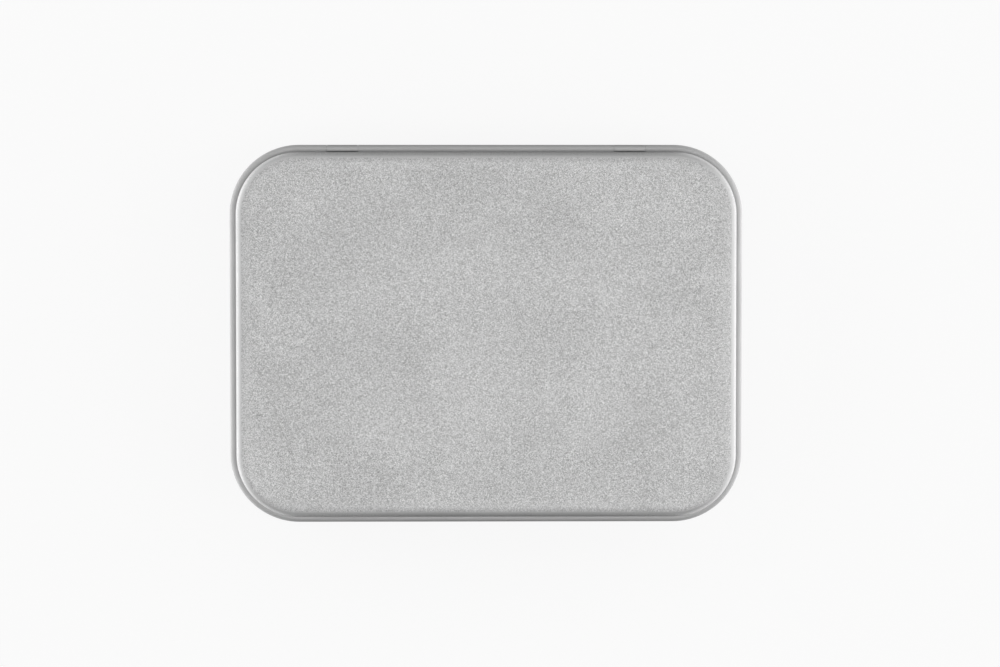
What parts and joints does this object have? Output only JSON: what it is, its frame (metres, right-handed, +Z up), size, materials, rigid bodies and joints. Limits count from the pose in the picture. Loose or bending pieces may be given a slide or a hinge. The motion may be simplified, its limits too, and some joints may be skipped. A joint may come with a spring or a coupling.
{
  "type": "hinged card game tin",
  "caption": "Small rectangular tinplate box with rounded corners, a hinged lid with a rolled rim, and room for a deck of cards.",
  "frame": {"origin": "under the middle of the closed tin, on the surface it stands on", "axes": "+X along the tin's length to the right, +Y from the front to the hinges at the back, +Z up through the lid's panel"},
  "size_m": [0.1, 0.0738, 0.022],
  "materials": {
    "body_tinplate": "bare tinplate, satin, bright on the worked radii",
    "lid_tinplate": "bare tinplate, matt stone grain on the panel, brighter on the worked edge and rim",
    "hinge_wire": "drawn wire, satin"
  },
  "bodies": {
    "tin_body": {"body_shell": "body_tinplate", "hinge_pin_left": "hinge_wire", "hinge_pin_right": "hinge_wire"},
    "lid": {"lid_shell": "lid_tinplate"}
  },
  "joints": [
    {"name": "lid_hinge", "type": "hinge", "parent": "tin_body", "child": "lid", "pos_m": [0, 0.036, 0.01555], "axis": [-1, 0, 0], "range_deg": [0, 180]}
  ]
}
